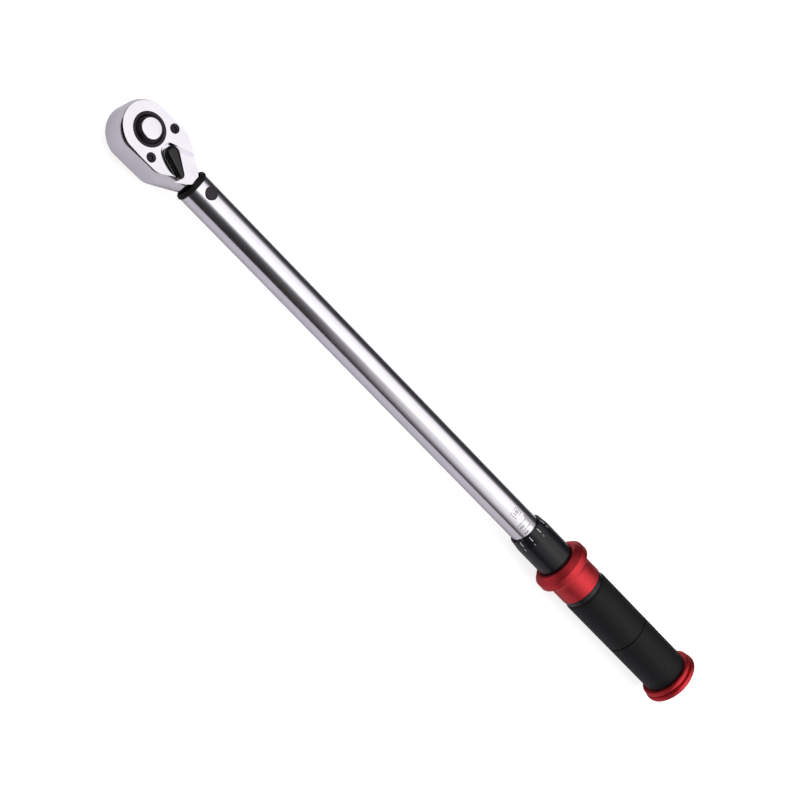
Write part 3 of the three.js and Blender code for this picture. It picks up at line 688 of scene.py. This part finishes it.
def square_drive(low, high):
    """Square with rounded corners and an eased end."""
    half, corner = SQUARE / 2, 1.1

    def ring(z, shrink):
        made = []
        for quarter in range(4):
            for k in range(9):
                a = pi / 2 * (quarter + k / 8)
                ox = (half - corner) * (1 if quarter in (0, 3) else -1)
                oy = (half - corner) * (1 if quarter in (0, 1) else -1)
                made.append(point(ox + (corner - shrink) * cos(a), oy + (corner - shrink) * sin(a), z))
        return made

    return lofted([ring(low, 0.8), ring(low + 0.25, 0.35), ring(low + 0.8, 0), ring(high, 0)])


def release_button():
    low, high = heights("release_button")
    ball_z = sum(heights("detent_ball")) / 2
    radius = (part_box("release_button")[1].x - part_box("release_button")[0].x) / 2 / MM
    profile = fillet([
        (low, 0), (low, 2.3), (ball_z + 0.3, 2.3), (ball_z + 1.3, 1.3), (ball_z + 7, 1.3),
        (ball_z + 7, 2.9), (11.5, 2.9), (11.5, radius, 0.3), (high - 0.5, radius, 0.9),
        (high, 0.0)])
    made = thing("quick_release_button", turned(profile, ROUND, upright()))
    return finish(made, CHROME, "button", "chrome", "release_button")


def detent_ball():
    low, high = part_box("detent_ball")
    centre, radius = (low + high) / 2, (high.z - low.z) / 2
    bm = bmesh.new()
    bmesh.ops.create_icosphere(bm, subdivisions=4, radius=radius, matrix=Matrix.Translation(centre))
    return finish(thing("drive_ball", bm), STEEL, "ball", "tool_steel", "detent_ball")


def reverse_lever():
    """Thumb lever: a tapered wing with a round pad over the spindle and a ridge to its tip."""
    base, top = POCKET_FLOOR + 0.3, heights("reverse_lever")[1]
    steps = 40

    def ring(z, hub, tip, saddle=0.0):
        lean = acos((hub - tip) / LEVER_LENGTH)
        made = []
        for centre, radius, first, last in ((0, hub, lean, 2 * pi - lean),
                                            (LEVER_LENGTH, tip, -lean, lean)):
            for k in range(steps + 1):
                a = first + (last - first) * k / steps
                x, y = centre + radius * cos(a), radius * sin(a)
                share = max(0.0, min(1.0, x / LEVER_LENGTH))
                dip = saddle * sin(pi * share) ** 2
                made.append((x, y, z - dip))
        return [place_on_lever(*p) for p in made]

    hub, tip = LEVER_HUB, LEVER_TIP
    rings = [ring(base, hub - 0.4, tip - 0.4), ring(base + 0.2, hub - 0.1, tip - 0.1),
             ring(base + 0.5, hub, tip), ring(base + 3.4, hub - 0.1, tip - 0.1),
             ring(base + 3.9, hub - 0.25, tip - 0.25), ring(base + 4.3, hub - 0.55, tip - 0.5, 0.05),
             ring(top - 1.2, hub - 0.95, tip - 0.8, 0.15), ring(top - 0.7, hub - 1.4, tip - 1.15, 0.3),
             ring(top - 0.3, hub - 2.1, tip - 1.7, 0.45), ring(top - 0.08, hub - 3.1, tip - 2.3, 0.55),
             ring(top, hub - 4.3, tip - 2.9, 0.6)]
    made = thing("thumb_lever", lofted(rings))
    spindle_low = heights("reverse_lever")[0]
    spindle = turned([(spindle_low, 0), (spindle_low, 2.6), (base + 1, 2.6), (base + 1, 0)], SMALL,
                     upright(LEVER_X))
    combine(made, spindle, "UNION")
    bore = turned([(-3.4, 0), (-3.4, 1.3), (1.9, 1.3), (1.9, 0)], 32,
                  lambda along, radius, a: place_on_lever(along, radius * cos(a), radius * sin(a)))
    combine(made, bore)
    return finish(made, LEVER, "lever", "lever_black", "reverse_lever", sharp=radians(50))


def place_on_lever(x, y, z):
    """A point of the lever, given along and across it, turned to its rest angle."""
    return point(LEVER_X + x * cos(LEVER_ANGLE) - y * sin(LEVER_ANGLE),
                 x * sin(LEVER_ANGLE) + y * cos(LEVER_ANGLE), z)


# ---------------------------------------------------------------- tube

def tube():
    x0, x1, radius = extent("tube")
    bore = 10.0
    profile = fillet([(x0, bore, 0.3), (x0, radius, 0.4), (x1, radius, 0.4), (x1, bore, 0.3)])
    made = thing("tube_shell", turned(profile, 192))
    combine(made, drum(PIVOT_BORE_TUBE, -20, 20, PIVOT_X, 0, SMALL))
    nut = middle_x("nut_pin_1")
    cross = turned([(-20, 0), (-20, 1.6), (20, 1.6), (20, 0)], 32,
                   lambda along, r, a: point(nut + r * cos(a), along, r * sin(a)))
    combine(made, cross)
    return finish(made, SATIN, "barrel", "chrome", "tube")


def seal_ring():
    x0, x1, radius = extent("seal_ring")
    bore = 10.5
    profile = fillet([(x0, bore, 0.3), (x0, radius - 0.5, 0.9), (x0 + 1.6, radius, 1.2),
                      (x1 + 0.2, radius, 0.8), (x1 + 0.2, bore, 0.2)])
    return finish(thing("mouth_seal", turned(profile)), SEAL, "barrel", "seal_rubber", "seal_ring")


def pivot_pin():
    low, high = heights("pivot_pin")
    radius = (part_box("pivot_pin")[1].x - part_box("pivot_pin")[0].x) / 2 / MM
    profile = fillet([(low, 0), (low, radius, 0.5), (high, radius, 0.5), (high, 0)])
    made = thing("swivel_pin", turned(profile, SMALL, upright(PIVOT_X)))
    return finish(made, GUNMETAL, "barrel", "gunmetal", "pivot_pin")


# ---------------------------------------------------------------- handle

def graduated_sleeve():
    x0, x1, _ = extent("graduated_sleeve")
    full, bore = SLEEVE_RADIUS, 12.75
    taper_end = x0 + SLEEVE_TAPER
    ring_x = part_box("retaining_ring")[0].x / MM
    core_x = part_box("handle_core")[0].x / MM
    profile = fillet([
        (x0, bore, 0.15), (x0, SLEEVE_RIM, 0.35), (taper_end, full, 12.0), (ring_x - 0.2, full),
        (ring_x - 0.2, 15.0), (ring_x + 1.4, 15.0), (ring_x + 1.4, full), (core_x - 0.3, full),
        (core_x - 0.3, 15.0), (x1, 15.0), (x1, bore)])
    made = thing("scale_sleeve", turned(profile, 192))
    lock_x = middle_x("lock_ball_1")
    hole = turned([(-20, 0), (-20, 1.5), (20, 1.5), (20, 0)], 32,
                  lambda along, r, a: point(lock_x + r * cos(a), along, r * sin(a)))
    combine(made, hole)
    return finish(made, SLEEVE, "handle", "black_sleeve", "graduated_sleeve")


def lock_collar():
    x0, x1, radius = extent("lock_collar")
    barrel, bore, cavity = 18.85, 16.0, 17.6
    profile = fillet([
        (x0, bore, 0.3), (x0, 18.6, 0.5), (x0 + 4.8, radius - 0.1, 0.7), (x0 + 10.8, radius, 0.6),
        (x0 + 11.4, radius - 2.1, 0.6), (x0 + 12.6, 19.9, 1.2), (x0 + 15.8, barrel, 3.0),
        (x1, barrel, 0.5), (x1, bore), (x0 + 28.5, bore), (x0 + 27.7, 16.9), (x0 + 25.3, 16.9),
        (x0 + 24.5, bore), (x0 + 18, bore), (x0 + 18, cavity), (x0 + 6, cavity), (x0 + 6, bore)])
    return finish(thing("red_lock_collar", turned(profile, 192)), RED, "collar", "red_anodised",
                  "lock_collar")


def handle_core():
    x0, x1, _ = extent("handle_core")
    grip_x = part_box("grip")[0].x / MM
    band, core = 18.5, 17.0
    profile = fillet([
        (x0, 15.3), (x0, band, 0.5), (grip_x - 0.3, band, 0.3), (grip_x - 0.3, core), (x1, core),
        (x1, 13.0), (x0 + 14.7, 13.0), (x0 + 14.7, 15.3)])
    made = thing("core_tube", turned(profile))
    pin_x = middle_x("hub_pin_1")
    hole = turned([(-30, 0), (-30, 1.6), (30, 1.6), (30, 0)], 32,
                  lambda along, r, a: point(pin_x + r * cos(a), along, r * sin(a)))
    combine(made, hole)
    return finish(made, SLEEVE, "handle", "black_sleeve", "handle_core")


def grip():
    x0, x1, radius = extent("grip")
    groove = 559.8
    profile = fillet([
        (x0, 17.3), (x0, radius - 1.3, 0.4), (x0 + 2, radius, 1.2), (groove - 0.8, radius, 0.3),
        (groove - 0.55, radius - 0.8, 0.25), (groove + 0.55, radius - 0.8, 0.25),
        (groove + 0.8, radius, 0.3), (x1, radius, 0.8), (x1, 17.3)])
    return finish(thing("textured_grip", turned(profile, 192)), GRIP, "handle", "black_grip", "grip")


def end_cap():
    x0, x1, radius = extent("end_cap")
    profile = fillet([
        (x0, 4.0), (x0, 21.6, 0.5), (x0 + 1.1, 23.0, 0.9), (x0 + 3.1, 23.0, 0.9), (x0 + 3.9, 21.3, 0.4),
        (x0 + 4.5, 21.3, 0.4), (x0 + 5.4, radius, 1.3), (x0 + 8.4, radius, 1.6), (x1, 21.2, 0.9),
        (x1, 6.4, 0.3), (x1 - 3.5, 6.4), (x1 - 3.5, 4.0)])
    return finish(thing("red_end_cap", turned(profile, 192)), RED, "handle", "red_anodised", "end_cap")


def end_screw():
    """Socket-head screw that holds the end cap."""
    x0, x1, radius = extent("end_screw")
    sides = 48

    def ring(x, size, hexagon=0.0):
        made = []
        for k in range(sides):
            a = 2 * pi * k / sides
            r = socket_radius(size, a, hexagon)
            made.append(point(x, r * cos(a), r * sin(a)))
        return made

    rings = [ring(x0, 2.3), ring(x1 - 2.8, 2.3), ring(x1 - 2.8, radius), ring(x1 - 0.4, radius),
             ring(x1 - 0.1, radius - 0.2), ring(x1, radius - 0.5), ring(x1, 3.1),
             ring(x1 - 0.3, 2.7, 1.0), ring(x1 - 2.3, 2.65, 1.0)]
    return finish(thing("cap_screw", lofted(rings)), OXIDE, "handle", "black_steel", "end_screw")


# ---------------------------------------------------------------- printed marks

INK = 0.06                       # thickness of a printed mark
SLICE = 0.05                     # widest angle that a flat piece of a mark may span


def wrapped(name, patches, radius_at, ink, body, slot):
    """Flat marks given as (x, angle) corners, bent round the turned surface as thin solids."""
    bm = bmesh.new()
    for corners in patches:
        bm.faces.new([bm.verts.new((x, a, 0)) for x, a in corners])
    angles = [vert.co.y for vert in bm.verts]
    for k in range(1, int((max(angles) - min(angles)) / SLICE) + 1):
        bmesh.ops.bisect_plane(bm, geom=bm.verts[:] + bm.edges[:] + bm.faces[:], dist=1e-6,
                               plane_co=(0, min(angles) + k * SLICE, 0), plane_no=(0, 1, 0))
    raised = bmesh.ops.extrude_face_region(bm, geom=bm.faces[:], use_keep_orig=True)
    for item in raised["geom"]:
        if isinstance(item, bmesh.types.BMVert):
            item.co.z = INK
    for vert in bm.verts:
        x, angle, lift = vert.co
        vert.co = about_axis(x, radius_at(x) + lift, angle)
    bmesh.ops.recalc_face_normals(bm, faces=bm.faces)
    return finish(thing(name, bm), ink, body, slot)


def bar(x0, x1, a0, a1):
    """A rectangle in (x, angle)."""
    return [(x0, a0), (x1, a0), (x1, a1), (x0, a1)]


def lettering(text, size, x, angle, radius, weight=0.0):
    """Number outlines as patches of (x, angle), upright for a reader at the handle."""
    curve = bpy.data.curves.new("lettering", "FONT")
    curve.body = text
    curve.size = size
    curve.offset = weight
    curve.align_x = "CENTER"
    curve.align_y = "CENTER"
    curve.resolution_u = 3
    made = bpy.data.objects.new("lettering", curve)
    bpy.context.scene.collection.objects.link(made)
    graph = bpy.context.evaluated_depsgraph_get()
    mesh = bpy.data.meshes.new_from_object(made.evaluated_get(graph))
    patches = []
    for face in mesh.polygons:
        flat = [mesh.vertices[index].co for index in face.vertices]
        patches.append([(x - spot.y, angle - spot.x / radius) for spot in flat])
    bpy.data.objects.remove(made)
    bpy.data.meshes.remove(mesh)
    return patches


TOP = pi / 2                      # angle of +Z in about_axis


def tube_scale():
    """Twin index lines, a numbered line every 50, fine lines every 10 and a boxed figure."""
    radius = extent("tube")[2]
    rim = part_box("graduated_sleeve")[0].x / MM
    step, setting, most, least = 6.0, 250, 350, 50
    width, fine = 0.46, 0.26
    patches = []
    for angle in (TOP - 0.075, TOP + 0.015):
        patches.append(bar(rim - 15, rim + 26, angle - width / 2 / radius, angle + width / 2 / radius))
    for value in range(least, most + 1, 10):
        x = rim + (setting - value) / 50 * step
        if value % 50:
            patches.append(bar(x - fine / 2, x + fine / 2, TOP + 0.05, TOP + 0.16))
            continue
        patches.append(bar(x - width / 2, x + width / 2, TOP + 0.05, TOP + 0.79))
        patches += lettering(str(value), 3.3, x + 3.0, TOP + 0.62, radius, 0.03)
    x0, x1, a0, a1 = rim - 24.6, rim - 18.0, TOP - 0.02, TOP + 0.55
    side, end = 0.3, 0.3 / radius
    patches += [bar(x0, x0 + side, a0, a1), bar(x1 - side, x1, a0, a1),
                bar(x0, x1, a0, a0 + end), bar(x0, x1, a1 - end, a1)]
    patches += lettering("50", 4.4, (x0 + x1) / 2, (a0 + a1) / 2, radius, 0.04)
    return wrapped("tube_scale", patches, lambda x: radius, BLACK_INK, "barrel", "black_steel")


def sleeve_scale():
    """Ten numbered lines round the sleeve's taper."""
    x0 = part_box("graduated_sleeve")[0].x / MM

    def radius_at(x):
        share = max(0.0, min(1.0, (x - x0) / SLEEVE_TAPER))
        return SLEEVE_RIM + (SLEEVE_RADIUS - SLEEVE_RIM) * share

    patches = []
    for k in range(10):
        a = TOP + 0.07 + 2 * pi * k / 10
        patches.append(bar(x0 + 0.5, x0 + 5.0, a - 0.02, a + 0.02))
        patches += lettering(str(k), 3.4, x0 + 8.2, a + 0.04, SLEEVE_RADIUS, 0.03)
    return wrapped("sleeve_scale", patches, radius_at, WHITE_INK, "handle", "black_sleeve")


# ---------------------------------------------------------------- assembly

def paint_inner_parts():
    """The pieces inside keep their CAD shapes and get their own metals."""
    metals = {"tool_steel": STEEL, "spring_steel": SPRING, "brass": BRASS}
    for entry in frame["record"]["subparts"]:
        if entry["material_slot"] in metals:
            node = frame["nodes"][entry["node"]]
            node.data.materials.clear()
            node.data.materials.append(metals[entry["material_slot"]])


def build():
    head_body()
    cover_plate()
    for screw in ("cover_screw_1", "cover_screw_2"):
        cover_screw(screw)
    ratchet_gear()
    release_button()
    detent_ball()
    reverse_lever()
    tube()
    seal_ring()
    pivot_pin()
    graduated_sleeve()
    lock_collar()
    handle_core()
    grip()
    end_cap()
    end_screw()
    tube_scale()
    sleeve_scale()
    paint_inner_parts()


# ---------------------------------------------------------------- studio

def camera():
    """Long lens above and ahead of the drive's side, rolled so that the wrench runs corner to corner."""
    azimuth, elevation, roll = radians(-38.12), radians(53.17), radians(77.92)
    distance, lens = 1.3719, 82.06
    aim = point(278.25, 0, 0)
    back = Vector((sin(azimuth) * cos(elevation), -cos(azimuth) * cos(elevation), sin(elevation)))
    data = bpy.data.cameras.new("camera")
    data.lens, data.sensor_width = lens, 36
    data.clip_start, data.clip_end = 0.05, 50
    made = bpy.data.objects.new("camera", data)
    bpy.context.scene.collection.objects.link(made)
    made.location = aim + back * distance
    made.rotation_mode = "QUATERNION"
    level = (-back).to_track_quat("-Z", "Y")
    made.rotation_quaternion = Matrix.Rotation(roll, 3, back).to_quaternion() @ level
    bpy.context.scene.camera = made


def card(name, near, far, color, glow=0.0, lift=0.0):
    """A level card on the floor between two distances from the wrench, given along Y."""
    reach = 8
    mesh = bpy.data.meshes.new(name)
    mesh.from_pydata([(-reach, near, 0), (reach, near, 0), (reach, far, 0), (-reach, far, 0)], [],
                     [(0, 1, 2, 3)])
    made = bpy.data.objects.new(name, mesh)
    made.location.z = min(0.0, CAD_LOW.z) - 0.0002 + lift
    bpy.context.scene.collection.objects.link(made)
    paper = material(name, color, roughness=0.9, specular=0.0)
    shader = paper.node_tree.nodes["Principled BSDF"]
    shader.inputs["Emission Color"].default_value = (1, 1, 1, 1)
    shader.inputs["Emission Strength"].default_value = glow
    made.data.materials.append(paper)
    return made


def floor():
    """White paper, with a duller sheet and two black cards that only reflections see."""
    paper = card("paper", -8, 8, (0.45, 0.45, 0.45), glow=0.8)
    paper.visible_glossy = False
    for sheet in (card("dull_paper", -8, 8, (0.62, 0.605, 0.64), lift=0.0002),
                  card("flag_left", 0.12, 3, (0.03, 0.03, 0.035), lift=0.0004),
                  card("flag_right", -3, -0.28, (0.03, 0.03, 0.035), lift=0.0004)):
        sheet.visible_camera = False
        sheet.visible_diffuse = False
        sheet.visible_transmission = False
        sheet.visible_shadow = False


# Brightness of the studio against the angle from straight up towards -Y, in degrees. A rounded
# surface mirrors these as lengthwise bands; the far wall turns from dark to light along the wrench.
WALL_BY_HEAD = ((-90, 0.04), (-76, 0.05), (-58, 0.3), (-50, 0.9), (-42, 1.45), (18, 1.6), (25, 1.0),
                (36, 0.2), (48, 0.09), (60, 0.05), (90, 0.03))
WALL_BY_HANDLE = ((-90, 0.04), (-76, 0.04), (-58, 0.1), (-50, 0.4), (-42, 1.0), (-33, 1.5), (18, 1.6),
                  (25, 1.5), (36, 1.35), (48, 1.2), (60, 0.95), (71, 0.55), (84, 0.18), (90, 0.1))
END_WALL = (26.0, 52.0, 0.3)      # the same towards the wrench's nose: fades between these angles
BRIGHTEST = 2.0
LAMP_TILT, LAMP_SPREAD, LAMP_STRENGTH = 7.0, 12.0, 0.7
BELL_BASE = 2.718                 # base of the bell curve that the lamp strip fades by


def sky():
    """Studio round the wrench: a bright ceiling along it between two darker walls."""
    world = bpy.data.worlds.new("studio")
    bpy.context.scene.world = world
    world.use_nodes = True
    tree = world.node_tree
    n = Nodes(world)
    add, math = n.add, n.math

    def wall(tilt, stops):
        ramp = add("ShaderNodeValToRGB", {0: math("DIVIDE", math("ADD", tilt, 90), 180)})
        for k, (angle, value) in enumerate(stops):
            place = (angle + 90) / 180
            stop = ramp.color_ramp.elements[k] if k < 2 else ramp.color_ramp.elements.new(place)
            stop.position = place
            level = value / BRIGHTEST
            stop.color = (level, level, level, 1)
        return math("MULTIPLY", ramp.outputs[0], BRIGHTEST)

    split = add("ShaderNodeSeparateXYZ", {0: add("ShaderNodeTexCoord").outputs["Generated"]})
    x, y, z = split.outputs
    tilt = math("MULTIPLY", math("ARCTAN2", math("MULTIPLY", y, -1.0), z), 180 / pi)
    share = add("ShaderNodeMapRange", {0: x, 1: 0.22, 2: 0.46}, interpolation_type="SMOOTHSTEP")
    bright = add("ShaderNodeMix", {0: share.outputs[0], 2: wall(tilt, WALL_BY_HEAD),
                                   3: wall(tilt, WALL_BY_HANDLE)}, data_type="FLOAT").outputs[0]
    lean = math("MULTIPLY", math("ARCTAN2", math("MULTIPLY", x, -1.0), z), 180 / pi)
    first, last, least = END_WALL
    front = add("ShaderNodeMapRange", {0: lean, 1: first, 2: last, 3: 1.0, 4: least},
                interpolation_type="SMOOTHSTEP").outputs[0]
    bright = math("MULTIPLY", bright, front)
    off = math("DIVIDE", math("SUBTRACT", tilt, LAMP_TILT), LAMP_SPREAD)
    core = math("POWER", BELL_BASE, math("MULTIPLY", math("MULTIPLY", off, off), -1.0))
    strip = math("MULTIPLY", core, LAMP_STRENGTH)
    tree.links.new(math("ADD", bright, strip), tree.nodes["Background"].inputs["Strength"])
    tree.nodes["Background"].inputs["Color"].default_value = (1.0, 0.99, 1.0, 1)


def lamp(name, place, aim, size, power, glossy=False):
    data = bpy.data.lights.new(name, "AREA")
    data.shape = "SQUARE"
    data.size = size
    data.energy = power
    made = bpy.data.objects.new(name, data)
    bpy.context.scene.collection.objects.link(made)
    made.location = place
    made.rotation_mode = "QUATERNION"
    made.rotation_quaternion = (Vector(aim) - Vector(place)).to_track_quat("-Z", "Y")
    made.visible_glossy = glossy
    return made


def studio():
    bpy.context.scene.view_settings.view_transform = "Standard"
    floor()
    sky()
    middle = (CAD_LOW + CAD_HIGH) / 2
    lamp("overhead", (middle.x, middle.y, 2.2), middle, 3.0, 12)


camera()
build()
studio()
